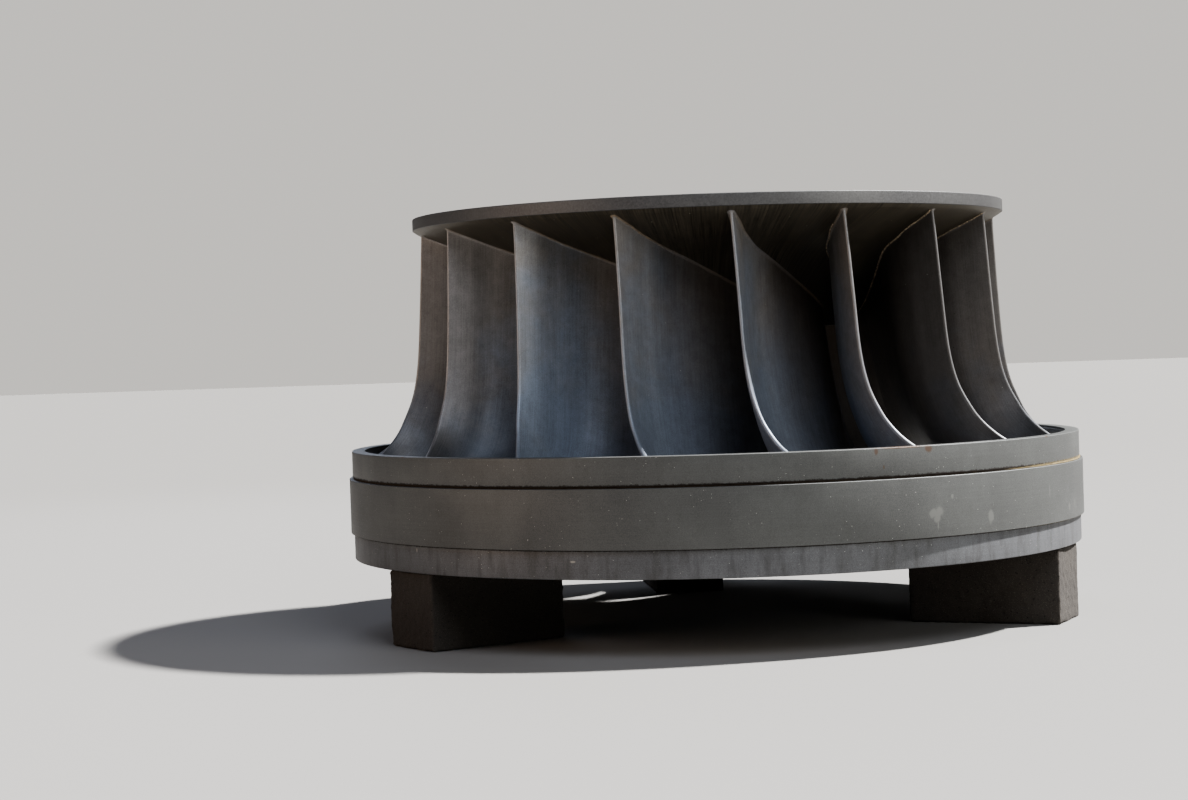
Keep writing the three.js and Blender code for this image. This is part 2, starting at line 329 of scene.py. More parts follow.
def turned(name, corners, finish, steps=RING_STEPS):
    """A ring whose outline is given as corners of radius, height and edge radius in millimetres."""
    profile_mesh = bpy.data.meshes.new(name + "_profile")
    profile_mesh.from_pydata([(r, 0, z) for r, z in rounded(corners)], [], [])
    profile = add_object(name + "_profile", profile_mesh)
    ring = made_by(RING_TREE, name, {"Profile": profile, "Steps": steps, "Finish": finish})
    bpy.data.objects.remove(profile)
    face_outwards(ring)
    return ring


def finish_piece(piece, slot, *nodes):
    """Hands a finished piece to the frame, in place of its CAD nodes."""
    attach(piece, "root")
    if nodes:
        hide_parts(*nodes)


def ground_casting_in_painted_shade():
    """Ground cast steel, with streaks towards the hub 8 mm apart. Its dark olive brown is painted
    shade and a painted warm reflection of the ground.
    """
    material, shader, add, place = start_material("ground_cast_steel_painted_shade")
    x, y, _ = add("SeparateXYZ", [place]).outputs
    flat = add("CombineXYZ", [x, y])
    radius = add("VectorMath", [flat], operation="LENGTH")
    unit = add("VectorMath", [flat], operation="NORMALIZE")
    spread = add("VectorMath", {0: unit, "Scale": 190}, operation="SCALE")
    outwards = add("Math", [radius, 3.0], operation="MULTIPLY")
    way = add("VectorMath", [spread, add("CombineXYZ", {"Z": outwards})])
    streak = add("TexNoise", {"Vector": way, "Scale": 1, "Detail": 4, "Roughness": 0.6})
    cloud = add("TexNoise", {"Vector": place, "Scale": 2.2, "Detail": 5})
    lines = add("MapRange", [streak, 0.35, 0.7, 0.0, 0.55])
    # White flecks of lime and lint, 5 mm across
    cell = add("TexVoronoi", {"Vector": place, "Scale": 11})
    fleck = add("MapRange", [cell, 0.028, 0.05, 1, 0])
    # The dark base tones are painted shade and a painted warm reflection; the streaks and flecks
    # are real
    tone = coated(add, "#302b23", (cloud, "#433e36"), (lines, "#756d5d"), (fleck, "#8d8676"))
    rough = add("MapRange", [streak, 0.3, 0.7, 0.42, 0.62])
    bump = add("Bump", {"Height": streak, "Strength": 0.5, "Distance": 0.0012})
    set_inputs(shader, {"Base Color": tone, "Roughness": rough, "Normal": bump, "Metallic": 0.75})
    return material


def weathered_rim():
    """Turned steel left outdoors: mid grey with a fine pale and dark mottle, 6 to 15 mm across."""
    material, shader, add, place = start_material("weathered_turned_steel")
    mottle = add("TexNoise", {"Vector": place, "Scale": 90, "Detail": 4, "Roughness": 0.65})
    patch = add("TexNoise", {"Vector": place, "Scale": 3, "Detail": 3})
    grain = add("MapRange", [mottle, 0.35, 0.68, 0, 0.4])
    tone = coated(add, "#393839", (patch, "#504f4d"), (grain, "#6b6a69"))
    rough = add("MapRange", [mottle, 0, 1, 0.45, 0.68])
    bump = add("Bump", {"Height": mottle, "Strength": 0.35, "Distance": 0.0008})
    set_inputs(shader, {"Base Color": tone, "Roughness": rough, "Normal": bump, "Metallic": 0.6})
    return material


def lathe_lines(add, place, lines_per_metre):
    """Noise in circles about the axis, across flat and upright faces alike."""
    x, y, z = add("SeparateXYZ", [place]).outputs
    radius = add("VectorMath", [add("CombineXYZ", [x, y])], operation="LENGTH")
    reach = add("Math", [radius, z])
    rings = add("Math", [reach, lines_per_metre], operation="MULTIPLY")
    way = add("CombineXYZ", [x, y, rings])
    return add("TexNoise", {"Vector": way, "Scale": 1, "Detail": 3})


def turned_top():
    """Turned and rained on: grey steel with lathe rings 4 mm apart and thin brown water stains."""
    material, shader, add, place = start_material("turned_flange_steel")
    lathe = lathe_lines(add, place, 250.0)
    stain = add("TexNoise", {"Vector": place, "Scale": 2.6, "Detail": 7, "Roughness": 0.62})
    brown = add("MapRange", [stain, 0.5, 0.72, 0, 0.75])
    tone = coated(add, "#57575a", (lathe, "#77767a"), (brown, "#5b4230"))
    rough = add("MapRange", [stain, 0, 1, 0.3, 0.75])
    bump = add("Bump", {"Height": lathe, "Strength": 0.3, "Distance": 0.0008})
    set_inputs(shader, {"Base Color": tone, "Roughness": rough, "Normal": bump, "Metallic": 0.75})
    return material


def build_bore_tree():
    """Cuts a ring of equal holes, each the shape of the cutter object, out of the geometry."""
    inputs = {"Cutter": "Object", "Holes": "Int", "Circle Radius": "Float", "First Turn": "Float"}
    add, given, end = new_tree("bored_circle", inputs)
    around = {"Vertices": given["Holes"], "Radius": given["Circle Radius"]}
    circle = add("GeometryNodeMeshCircle", around)
    turn = add("CombineXYZ", {"Z": given["First Turn"]})
    swung = add("GeometryNodeTransform", {"Geometry": circle, "Rotation": turn})
    cutter = add("GeometryNodeObjectInfo", {"Object": given["Cutter"]}).outputs["Geometry"]
    copies = add("GeometryNodeInstanceOnPoints", {"Points": swung, "Instance": cutter})
    solid = add("GeometryNodeRealizeInstances", [copies])
    bored = add("GeometryNodeMeshBoolean", [given["Geometry"], solid], solver="EXACT")
    return end_tree(add, given, end, bored)


turned_steel = turned_top()
underside = [(r, z, 0) for r, z, _ in smooth(CROWN_LINE, np.linspace(1, 0, 61))]
crown_corners = [
    (HUB_HOLLOW_RADIUS_MM, HUB_BOTTOM_MM, 3),
    *underside,
    (CROWN_RADIUS_MM, CROWN_TOP_MM, 6),
    (CROWN_RADIUS_MM - CROWN_LAND_MM, CROWN_TOP_MM, 4),
    (CROWN_RADIUS_MM - CROWN_LAND_MM, CROWN_TOP_MM - CROWN_LAND_STEP_MM, 12),
    *[(r, z, 40) for r, z in CROWN_DISH],
    (HUB_RADIUS_MM, CROWN_DISH[-1][1] + HUB_FOOT_RISE_MM, 20),
    (HUB_RADIUS_MM, HUB_TOP_MM, 8),
    (BORE_RADIUS_MM, HUB_TOP_MM, 8),
    (BORE_RADIUS_MM, HUB_HOLLOW_TOP_MM, 4),
    (HUB_HOLLOW_RADIUS_MM, HUB_HOLLOW_TOP_MM, 25),
]
blank = turned("crown_blank", crown_corners, turned_steel)
hub_top = HUB_TOP_MM / 1000 + RUNNER_BASE
hole = COUPLING_HOLE_MM / 1000
lead_in = 0.006
above = 0.02
cutter = add_object("hole_cutter", bpy.data.meshes.new("hole_cutter"))
shape = bmesh.new()
for low, high, r_low, r_high in (
    (hub_top - COUPLING_DEPTH_MM / 1000, hub_top - lead_in, hole, hole),
    (hub_top - lead_in, hub_top + above, hole, hole + lead_in + above),
):
    bmesh.ops.create_cone(
        shape,
        cap_ends=True,
        segments=40,
        radius1=r_low,
        radius2=r_high,
        depth=high - low,
        matrix=Matrix.Translation((0, 0, (low + high) / 2)),
    )
caps = [face for face in shape.faces if len(face.verts) > 4]
rises = [cap.calc_center_median().z - (hub_top - lead_in) for cap in caps]
middle_caps = [cap for cap, rise in zip(caps, rises) if abs(rise) < MERGE_DISTANCE]
bmesh.ops.delete(shape, geom=middle_caps, context="FACES_ONLY")
bmesh.ops.remove_doubles(shape, verts=shape.verts, dist=MERGE_DISTANCE)
shape.to_mesh(cutter.data)
shape.free()
crown = made_by(
    build_bore_tree(),
    "crown_casting",
    {
        "Cutter": cutter,
        "Holes": COUPLING_HOLES,
        "Circle Radius": COUPLING_CIRCLE_MM / 1000,
        "First Turn": math.pi / COUPLING_HOLES,
        "Finish": turned_steel,
    },
    source=blank.data.copy(),
)
bpy.data.objects.remove(cutter)
bpy.data.objects.remove(blank)
face_outwards(crown)
crown.data.materials.clear()
for steel in (turned_steel, ground_casting_in_painted_shade(), weathered_rim()):
    crown.data.materials.append(steel)
for face in crown.data.polygons:
    reach = math.hypot(face.center.x, face.center.y)
    if reach > (CROWN_RADIUS_MM - RIM_EDGE_MM) / 1000:
        face.material_index = 2
    # Faces turned downwards take the ground casting, which is darkened with painted shade
    elif face.normal.z < -0.1 and reach > HUB_HOLLOW_RADIUS_MM / 1000:
        face.material_index = 1
finish_piece(crown, "cast_steel", "crown")


# Band. The lower shroud, a ring of cast steel with a thick lip at its top. The lip overhangs a
# turned seat, onto which the two outer rings are shrunk, and the inner wall is ground to meet the
# blades.
BAND_TOP_MM = 640
BAND_LIP_RADIUS_MM = 2181
BAND_LIP_UNDERSIDE_MM = 481
BAND_LIP_REBATE_MM = 6
BAND_REBATE_DEPTH_MM = 12
BAND_SEAT_RADIUS_MM = 2128
BAND_STEP_MM = 14
# The band's inner wall from the lip down, in the same way
BAND_LINE = [
    (2101, 640, 8.7),
    (2087, 586, 8),
    (2062, 490, 8.3),
    (2050, 390, 12),
    (2048, 270, 21),
    (2056, 150, 35.8),
    (2078, 0, 52),
]
# Where rust has run or settled on the lip: azimuth from -Y towards +X, height, width and depth
RUST_SPOTS = [
    (22.9, 624, 22, 38),
    (27.2, 637, 330, 9),
    (31.3, 623, 52, 38),
    (24, 541, 10, 28),
    (73.5, 516, 12, 60),
    (58, 637, 40, 8),
    (-52, 638, 30, 8),
]


def spots_on(add, place, spots, radius_mm, edge):
    """A mask that is 1 on upright oval spots of a ring, and frays to 0 over the noise in edge."""
    total = None
    r = radius_mm / 1000
    for azimuth, height, width, depth in spots:
        a = math.radians(azimuth)
        middle = (r * math.sin(a), -r * math.cos(a), height / 1000 + RUNNER_BASE)
        away = add("VectorMath", [place, middle], operation="SUBTRACT")
        oval = (2000 / width, 2000 / width, 2000 / depth)
        scaled = add("VectorMath", [away, oval], operation="MULTIPLY")
        apart = add("VectorMath", [scaled], operation="LENGTH")
        frayed = add("Math", [edge, 1.2, apart], operation="MULTIPLY_ADD")
        spot = add("MapRange", [frayed, 1.25, 1.75, 1, 0])
        total = add("Math", [total, spot], operation="MAXIMUM") if total else spot
    return total


def machined_ring(name, dark, light, marks, marks_radius, mark_colour, joint, dirt):
    """Machined carbon steel under a thin oxide: satin grey, with a grain of 5 mm. Rust creeps out
    of the joint, which is given by its height and how far the rust reaches from it."""
    material, shader, add, place = start_material(name)

    # Broad faint clouds, a grain of 5 mm, and lathe lines 6 mm apart
    cloud = add("TexNoise", {"Vector": place, "Scale": 1.6, "Detail": 6, "Roughness": 0.6})
    grain = add("TexNoise", {"Vector": place, "Scale": 190, "Detail": 3, "Roughness": 0.8})
    grained = add("Math", [grain, 1.4, cloud], operation="MULTIPLY_ADD")
    lathe = lathe_lines(add, place, 160.0)
    mixed = add("Math", [lathe, 0.22, grained], operation="MULTIPLY_ADD")
    spread = add("MapRange", [mixed, 0.9, 1.72, 0, 1])

    # Dried mud and water marks in streaks that hang 40 to 120 mm
    hang = add("VectorMath", [place, (17, 17, 4)], operation="MULTIPLY")
    run = add("TexNoise", {"Vector": hang, "Scale": 1, "Detail": 6, "Roughness": 0.6})
    runs = add("MapRange", [run, 0.48, 0.72, 0, dirt])

    # White flecks, up to 4 mm across, and the larger marks
    cell = add("TexVoronoi", {"Vector": place, "Scale": 75})
    chosen = add("SeparateColor", [cell.outputs["Color"]])
    reach = add("MapRange", [chosen, 0.8, 1, 0, 0.16])
    fleck = add("Math", [cell, reach], operation="LESS_THAN")
    frayed = add("TexNoise", {"Vector": place, "Scale": 30, "Detail": 5})
    mark = spots_on(add, place, marks, marks_radius, frayed)

    # Rust round the joint, ragged at its far edge. Its ochre on the +X side, where the key lamp
    # falls, is partly dry rust and partly painted sunlight, and its near black brown is partly
    # painted shade.
    joint_height, joint_reach = joint
    x, _, z = add("SeparateXYZ", [place]).outputs
    rise = add("Math", [z, joint_height / 1000 + RUNNER_BASE], operation="SUBTRACT")
    apart = add("Math", [rise], operation="ABSOLUTE")
    share = add("Math", [apart, joint_reach / 1000], operation="DIVIDE")
    ragged = add("TexNoise", {"Vector": place, "Scale": 45, "Detail": 6, "Roughness": 0.7})
    edge = add("Math", [ragged, 2.4, share], operation="MULTIPLY_ADD")
    crept = add("MapRange", [edge, 1.9, 2.3, 1, 0])
    # Ochre towards +X: partly dry rust, partly painted sunlight
    dry_and_sunlit = add("MapRange", [add("Math", [ragged, x]), 2.2, 2.6, 0, 1])
    rust = coated(add, "#27221e", (dry_and_sunlit, "#6f6141"))
    coats = [(spread, light), (runs, "#2e2b28"), (fleck, "#a09f99"), (mark, mark_colour)]
    tone = coated(add, dark, *coats, (crept, rust))
    rough = add("MapRange", [mixed, 0.9, 1.72, 0.6, 0.46])
    dull = add("Math", [crept, 0.3, rough], operation="MULTIPLY_ADD")
    bump = add("Bump", {"Height": mixed, "Strength": 0.3, "Distance": 0.0008})
    set_inputs(shader, {"Base Color": tone, "Roughness": dull, "Normal": bump, "Metallic": 0.3})
    return material


wall_places = smooth(BAND_LINE, np.linspace(0, 1, 49))
inner_wall = [(r, z, 0) for r, z, _ in wall_places if z < BAND_TOP_MM - BAND_STEP_MM]
band = turned(
    "band_ring",
    [
        (BAND_LINE[0][0], BAND_TOP_MM, 3),
        (BAND_LINE[0][0], BAND_TOP_MM - BAND_STEP_MM, 3),
        *inner_wall,
        (BAND_SEAT_RADIUS_MM, 0, 0),
        (BAND_SEAT_RADIUS_MM, BAND_LIP_UNDERSIDE_MM, 0),
        (BAND_LIP_RADIUS_MM - BAND_REBATE_DEPTH_MM, BAND_LIP_UNDERSIDE_MM, 0),
        (BAND_LIP_RADIUS_MM - BAND_REBATE_DEPTH_MM, BAND_LIP_UNDERSIDE_MM + BAND_LIP_REBATE_MM, 0),
        (BAND_LIP_RADIUS_MM, BAND_LIP_UNDERSIDE_MM + BAND_LIP_REBATE_MM, 2),
        (BAND_LIP_RADIUS_MM, BAND_TOP_MM, 4.5),
    ],
    machined_ring(
        "machined_band_steel",
        "#3c3c3b",
        "#5a5b59",
        RUST_SPOTS,
        BAND_LIP_RADIUS_MM,
        "#45352a",
        (BAND_LIP_UNDERSIDE_MM, 14),
        dirt=0.12,
    ),
)
finish_piece(band, "cast_steel", "band")


# Blades. Seventeen cast blades of stainless steel, ground by hand along their span and welded to
# the crown and the band with a concave fillet. The nose is a ground ellipse, 18 mm thick at the
# crown and 28 mm at the band. The blade thins to 12 mm at its trailing edge.
BLADES = 17
FIRST_BLADE_AZIMUTH = 4.5
# How dark each blade is made, from 0 where it was last ground to 1: partly dark oxide that it has
# kept, and partly painted shade
BLADE_OXIDE_AND_SHADE = [0.28, 0.39, 0.68, 0.5, 0.5, 0.3, 0.45, 0.2, 0, 0, 0, 0.25, 0.1, 0.16, 0, 0.06, 0.24]
# How much dark grime each blade has towards the band, in the same way
FOOT_GRIME = [0, 0, 0.1, 0.35, 0.3, 0.3, 0.2, 0.3, 0.1, 0.2, 0.3, 0.2, 0.3, 0.5, 0.65, 0.15, 0.1]
FOOT_SHARPNESS = 3
NOSE_LENGTH_MM = 28
# The nose's pale edge is partly polish and partly a painted highlight
NOSE_POLISH_AND_HIGHLIGHT = 0.3
NOSE_POLISH_AND_HIGHLIGHT_MM = 6
TAIL_MM = 6
# Half the thickness in millimetres from nose to tail, at the crown and at the band
HALF_THICKNESS = [(9, 14), (14.6, 16.4), *[(w, w) for w in (17.4, 17.4, 16, 13.4, 9.8, 6)]]
CROWN_FILLET_MM = 13
BAND_FILLET_MM = 15
EMBED_MM = 4
BODY_ROWS = 46
# The blade's two free edges from crown to band, in the same way
LEADING_LINE = [
    (1724, 1914, 0),
    (1735, 1720, 0.45),
    (1751, 1450, 0.95),
    (1774, 1153, 1.45),
    (1811, 960, 2.2),
    (1872, 818, 3.35),
    (1917, 740, 4.4),
    (1976, 672, 5.6),
    (2034, 622, 6.9),
    (2087, 586, 8),
]
TRAILING_LINE = [
    (912, 1390, 41.2),
    (958, 1190, 40.4),
    (1004, 990, 39.9),
    (1052, 795, 39.8),
    (1116, 600, 39.3),
    (1256, 400, 38.3),
    (1580, 225, 36.6),
    (2056, 150, 35.8),
]


def wall_edge(line, s):
    """The blade's edge on a wall, from the second to the last but one of the line's points."""
    return smooth(line, (1 + (len(line) - 3) * s) / (len(line) - 1))


crown_ends, band_ends = [wall_edge(line, np.arange(2)) for line in (CROWN_LINE, BAND_LINE)]


def blended(s, u, share):
    """The surface between the blade's four edges: s from nose to tail, u from crown to band."""
    at_crown, at_band = wall_edge(CROWN_LINE, s), wall_edge(BAND_LINE, s)
    s, share = s[..., None], share[..., None]
    corners = (crown_ends[0] * (1 - s) + crown_ends[1] * s) * (1 - share)
    corners = corners + (band_ends[0] * (1 - s) + band_ends[1] * s) * share
    across = at_crown * (1 - share) + at_band * share
    along = smooth(LEADING_LINE, u) * (1 - s) + smooth(TRAILING_LINE, u) * s
    return across + along - corners


def middle(s, u):
    """A point of the blade's middle surface, in millimetres. The wrap turns late to the band's."""
    place = blended(s, u, u)
    turn = np.radians(blended(s, u, u**FOOT_SHARPNESS)[..., 2] + FIRST_BLADE_AZIMUTH)
    radius, height = place[..., 0], place[..., 1]
    return np.stack([radius * np.sin(turn), -radius * np.cos(turn), height], -1)


def unit(v):
    return v / np.linalg.norm(v, axis=-1, keepdims=True)


def blade_normal(s, u, step=0.004):
    along = middle(s + step, u) - middle(s - step, u)
    across = middle(s, u + step) - middle(s, u - step)
    return unit(np.cross(along, across))


# Once round the section: a distance, a share of the chord added to it, and the half thickness
quarter = np.linspace(0, math.pi / 2, 9)
body = np.linspace(0, 1, 46)[1:-1]
tail = np.linspace(math.pi / 2, 0, 5)
distance = np.concatenate(
    [
        NOSE_LENGTH_MM * (1 - np.cos(quarter)),
        NOSE_LENGTH_MM - body * (NOSE_LENGTH_MM + TAIL_MM),
        -TAIL_MM * (1 - np.cos(tail)),
    ]
)
chord_share = np.concatenate([0 * quarter, body, 0 * tail + 1])
half_width = np.concatenate(
    [
        np.outer(np.sin(quarter), HALF_THICKNESS[0]),
        smooth(HALF_THICKNESS, body),
        np.outer(np.sin(tail), HALF_THICKNESS[-1]),
    ]
)
distance = np.concatenate([distance, distance[-2:0:-1]])
chord_share = np.concatenate([chord_share, chord_share[-2:0:-1]])
half_width = np.concatenate([half_width, -half_width[-2:0:-1]])
ROUND = len(distance)

stations = np.linspace(0, 1, 41)
chord_steps = np.linspace(0, 1, 61)
chord_grid = middle(*np.meshgrid(chord_steps, stations))
chord_length = np.linalg.norm(np.diff(chord_grid, axis=1), axis=2).sum(1)


def skin(u):
    """The blade's skin at each place round the section, with one span share for each place."""
    s = chord_share + distance / np.interp(u, stations, chord_length)
    half = half_width[:, 0] * (1 - u) + half_width[:, 1] * u
    return middle(s, u) + blade_normal(s, u) * half[:, None]


crown_wall = smooth(CROWN_LINE, np.linspace(1, 0, 400))
band_wall = smooth(BAND_LINE, np.linspace(1, 0, 400))


def above_crown(p):
    return p[..., 2] - np.interp(np.hypot(p[..., 0], p[..., 1]), crown_wall[:, 0], crown_wall[:, 1])


def beyond_band(p):
    return np.hypot(p[..., 0], p[..., 1]) - np.interp(p[..., 2], band_wall[:, 1], band_wall[:, 0])


def meeting(outside, free, buried):
    """The span shares at which the skin meets a wall, closed in on from a free and a buried one."""
    inside_share = np.full(ROUND, float(free))
    outside_share = np.full(ROUND, float(buried))
    for _ in range(30):
        share = (inside_share + outside_share) / 2
        past = outside(skin(share)) > 0
        outside_share = np.where(past, share, outside_share)
        inside_share = np.where(past, inside_share, share)
    return (inside_share + outside_share) / 2


def wall_normal(outside, p):
    """The wall's normal, out of the water passage and into the metal."""
    return unit(np.stack([outside(p + e) - outside(p - e) for e in np.eye(3)], -1))


def onto_wall(outside, p):
    into = wall_normal(outside, p)
    for _ in range(4):
        p = p - into * outside(p)[:, None]
    return p


def fillet(outside, share, direction, radius):
    """Rows of a concave fillet, from the skin to the wall, and a last row sunk in the metal."""
    step = 0.01
    joint = skin(share)
    rate = np.linalg.norm(skin(share + step) - joint, axis=1) / step
    start_share = share + direction * radius / rate
    start = skin(start_share)
    into = wall_normal(outside, joint)
    tangent = np.roll(joint, -1, 0) - np.roll(joint, 1, 0)
    aside = unit(np.cross(tangent, into))
    outwards = np.sign(np.sum(aside * (joint - joint.mean(0)), 1))
    flip = 1 if outwards.sum() > 0 else -1
    foot = onto_wall(outside, joint + aside * flip * radius)
    steps = (0.2, 0.4, 0.6, 0.8, 1.0)
    rows = [start * (1 - t) ** 2 + joint * 2 * t * (1 - t) + foot * t**2 for t in steps]
    return start_share, [*rows, foot + wall_normal(outside, foot) * EMBED_MM]


crown_share, crown_rows = fillet(above_crown, meeting(above_crown, 0.25, -0.08), 1, CROWN_FILLET_MM)
band_share, band_rows = fillet(beyond_band, meeting(beyond_band, 0.8, 1.08), -1, BAND_FILLET_MM)
reach = band_share - crown_share
body_rows = [skin(crown_share + reach * t) for t in np.linspace(0, 1, BODY_ROWS)]
rows = np.array(crown_rows[::-1] + body_rows + band_rows)
# How far each row shows the weld, and each place round the section the nose's pale edge, which is
# partly polish and partly a painted highlight
weld_end = [1, 1, 1, 0.9, 0.7, 0.4, 0.12]
weld = np.array(weld_end + [0] * (BODY_ROWS - 2) + weld_end[::-1])
edge = NOSE_POLISH_AND_HIGHLIGHT * np.clip(1 - distance / NOSE_POLISH_AND_HIGHLIGHT_MM, 0, 1) * (chord_share == 0)
span_way = np.concatenate([[0], np.cumsum(np.linalg.norm(np.diff(rows, axis=0), axis=2).mean(1))])
round_way = np.abs(distance + chord_share * chord_length.mean())

blade_mesh = bpy.data.meshes.new("blade")
points = rows.reshape(-1, 3) / 1000 + [0, 0, RUNNER_BASE]
faces = []
for low in range(0, (len(rows) - 1) * ROUND, ROUND):
    for i in range(ROUND):
        j = (i + 1) % ROUND
        faces.append((low + i, low + j, low + ROUND + j, low + ROUND + i))
for base in (0, (len(rows) - 1) * ROUND):
    for i in range(ROUND // 2):
        a, b, c, d = i, i + 1, (ROUND - i - 1) % ROUND, (ROUND - i) % ROUND
        cap = [a, b, c] if d == a else [a, b, d] if c == b else [a, b, c, d]
        faces.append([base + k for k in cap])
blade_mesh.from_pydata(points.tolist(), [], faces)
for label, values in (("weld", np.repeat(weld, ROUND)), ("nose", np.tile(edge, len(rows)))):
    attribute = blade_mesh.attributes.new(label, "FLOAT", "POINT")
    attribute.data.foreach_set("value", values.astype(np.float32))
uv_map = blade_mesh.uv_layers.new(name="grinding")
corner_points = np.zeros(len(blade_mesh.loops), int)
blade_mesh.loops.foreach_get("vertex_index", corner_points)
chord_place = round_way[corner_points % ROUND] / 1000
span_place = span_way[corner_points // ROUND] / 1000
uv_map.data.foreach_set("uv", np.stack([chord_place, span_place], 1).astype(np.float32).ravel())


def ground_blade():
    """Hand-ground stainless: satin grey, streaks along the span, a painted bluish sky reflection
    low down, and brown high up that is partly rust and partly a painted warm reflection.
    """
    material, shader, add, place = start_material("ground_blade_steel")
    surface = add("UVMap", uv_map="grinding").outputs[0]
    weld, nose, oxide, foot_grime = [
        add("Attribute", attribute_name=label).outputs["Fac"]
        for label in ("weld", "nose", "oxide", "foot")
    ]

    # Clouds 300 mm across, faint blotches of 70 mm, streaks 12 mm apart, and a 5 mm grain
    clouds = {"Vector": place, "Scale": 3.1, "Detail": 6, "Roughness": 0.6, "Distortion": 0.3}
    cloud = add("TexNoise", clouds)
    blotch = add("TexNoise", {"Vector": place, "Scale": 15, "Detail": 6, "Roughness": 0.68})
    way = add("VectorMath", [surface, (75, 2.6, 1)], operation="MULTIPLY")
    streak = add("TexNoise", {"Vector": way, "Scale": 1, "Detail": 4, "Roughness": 0.65})
    grain = add("TexNoise", {"Vector": place, "Scale": 190, "Detail": 2, "Roughness": 0.7})
    rubbed = add("Math", [streak, 0.95, blotch], operation="MULTIPLY_ADD")
    worked = add("Math", [grain, 1.2, rubbed], operation="MULTIPLY_ADD")
    light = add("MapRange", [worked, 0.95, 2.2, 0, 1])

    # The lower half is bluer than the top under the crown, and bluest within about a metre of x =
    # 0:
    # this blue is a painted reflection of the sky. High up and deep in the passage the steel is
    # browner, partly rust and partly a painted warm reflection of the ground.
    x, _, z = add("SeparateXYZ", [place]).outputs
    along_chord, along_span, _ = add("SeparateXYZ", [surface]).outputs
    behind = add("MapRange", [along_chord, 0.6, 1.3, 0, 1.6])
    under_crown = add("MapRange", [z, 1.25, 1.9, 0.4, 1])
    deep = add("Math", [behind, under_crown], operation="MULTIPLY")
    far = add("Math", [add("Math", [x, 0.2])], operation="ABSOLUTE")
    sky_sheen_loss_aside = add("MapRange", [far, 0.85, 1.2, 0, 0.42])
    sky_sheen_by_height = add("Math", [z, -0.45, cloud], operation="MULTIPLY_ADD")
    sky_sheen_towards_front = add("Math", [sky_sheen_by_height, sky_sheen_loss_aside], operation="SUBTRACT")
    sky_sheen_out_of_passage = add("Math", [deep, -0.2, sky_sheen_towards_front], operation="MULTIPLY_ADD")
    # A painted reflection of the sky: bluer low down and towards the front middle
    painted_sky_sheen = add("MapRange", [sky_sheen_out_of_passage, -0.58, -0.08, 0, 1])
    dark_tone = coated(add, "#5a5754", (painted_sky_sheen, "#555c67"))
    light_tone = coated(add, "#979390", (painted_sky_sheen, "#919ba9"))
    # Brown high up and deep in the passage: partly rust, partly a painted warm reflection of the
    # ground
    rust_and_warm_reflection = add("Math", [deep, cloud], operation="MULTIPLY")
    low = add("MapRange", [along_span, 0.7, 1.25, 0, foot_grime])

    # Casting pores and lime flecks, both 5 mm across, one to a cell by the cell's own number
    cell = add("TexVoronoi", {"Vector": place, "Scale": 11})
    chosen = add("SeparateColor", [cell.outputs["Color"]])
    spot = add("Math", [cell, 0.03], operation="LESS_THAN")
    is_pore = add("Math", [chosen, 0.55], operation="GREATER_THAN")
    spot_tone = coated(add, "#a9a69f", (is_pore, "#14110e"))

    # The weld keeps a tan heat tint and has a ripple every 10 mm
    beads = add("TexNoise", {"Vector": place, "Scale": 60, "Detail": 5, "Roughness": 0.65})
    bead_tone = coated(add, "#3a3025", (beads, "#a08c70"))
    seam = add("Math", [beads, 0.9, weld], operation="MULTIPLY_ADD")
    tinted = add("TexNoise", {"Vector": place, "Scale": 1.7, "Detail": 2})
    left_tint = add("MapRange", [tinted, 0.42, 0.62, 0, 0.8])
    welded = add("MapRange", [seam, 1.0, 1.4, 0, left_tint])
    # The dark oxide coat is partly oxide and partly painted shade, set blade by blade
    coats = [(light, light_tone), (rust_and_warm_reflection, "#6b5842"), (oxide, "#2b241d"), (low, "#20242b")]
    # The pale nose coat is partly polish and partly a painted highlight
    coats += [(spot, spot_tone), (nose, "#85878a"), (welded, bead_tone)]
    tone = coated(add, dark_tone, *coats)
    rough = add("MapRange", [worked, 0.95, 2.2, 0.52, 0.38])

    # Grinding leaves flats 80 mm across and shallow scratches, and the weld's ripples stand out
    waves = add("TexNoise", {"Vector": place, "Scale": 12, "Detail": 4})
    bead_height = add("Math", [beads, welded], operation="MULTIPLY")
    bump = add("Bump", {"Height": waves, "Strength": 0.3, "Distance": 0.002})
    for relief in (
        {"Height": worked, "Strength": 0.4, "Distance": 0.0006},
        {"Height": bead_height, "Strength": 0.9, "Distance": 0.005},
    ):
        bump = add("Bump", {**relief, "Normal": bump})
    rough = add("Math", [welded, 0.3, rough], operation="MULTIPLY_ADD")
    set_inputs(shader, {"Base Color": tone, "Roughness": rough, "Normal": bump, "Metallic": 0.35})
    return material


def build_blade_tree():
    """Turns the first blade to its number's place, and marks it with its own oxide, which is partly
    painted shade, and grime.
    """
    inputs = {"Number": "Int", "Blades": "Int", "Oxide And Shade": "Float", "Foot Grime": "Float"}
    add, given, end = new_tree("blade_in_place", inputs)
    share = add("Math", [given["Number"], given["Blades"]], operation="DIVIDE")
    angle = add("Math", [share, math.tau], operation="MULTIPLY")
    turn = add("CombineXYZ", {"Z": angle})
    toned = add("GeometryNodeTransform", {"Geometry": given["Geometry"], "Rotation": turn})
    for attribute, source in (("oxide", "Oxide And Shade"), ("foot", "Foot Grime")):
        mark = {"Geometry": toned, "Name": attribute, "Value": given[source]}
        toned = add("GeometryNodeStoreNamedAttribute", mark, data_type="FLOAT", domain="POINT")
    return end_tree(add, given, end, toned)


